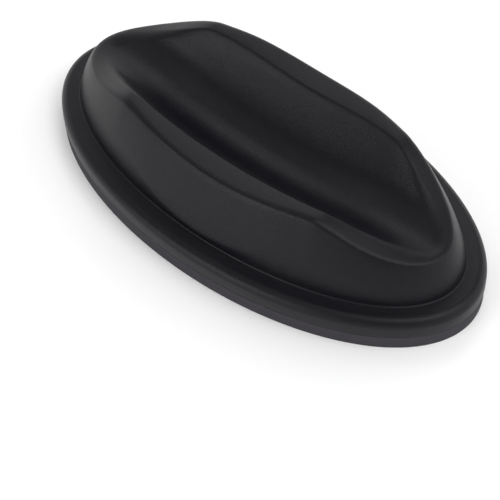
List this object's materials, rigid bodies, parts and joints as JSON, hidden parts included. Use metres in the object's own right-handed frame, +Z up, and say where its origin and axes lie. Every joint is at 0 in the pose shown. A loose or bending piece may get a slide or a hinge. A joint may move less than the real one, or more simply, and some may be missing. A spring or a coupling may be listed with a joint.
{
  "type": "bike trainer front riser block",
  "caption": "Low oval riser block with a lengthwise wheel trough that holds a bike's front wheel level while the rear wheel is on a trainer.",
  "frame": {"origin": "centre of the underside of the rubber pad, on the floor", "axes": "+X lengthwise along the wheel, +Y across the block, +Z up from the floor"},
  "size_m": [0.32, 0.162, 0.073],
  "materials": {
    "moulded_shell": "black moulded plastic with a fine satin grain",
    "moulded_plate": "black moulded plastic, plain satin",
    "adhesive": "black foam adhesive sheet, matte",
    "rubber_pad": "dark grey rubber with a cut, matte edge",
    "steel_screw": "zinc-plated steel"
  },
  "bodies": {
    "root": {"block_shell": "moulded_shell", "closing_plate": "moulded_plate", "adhesive_sheet": "adhesive", "base_pad": "rubber_pad", "plate_screw_1": "steel_screw", "plate_screw_2": "steel_screw", "plate_screw_3": "steel_screw", "plate_screw_4": "steel_screw", "plate_screw_5": "steel_screw", "plate_screw_6": "steel_screw", "plate_screw_7": "steel_screw", "plate_screw_8": "steel_screw"}
  },
  "joints": []
}
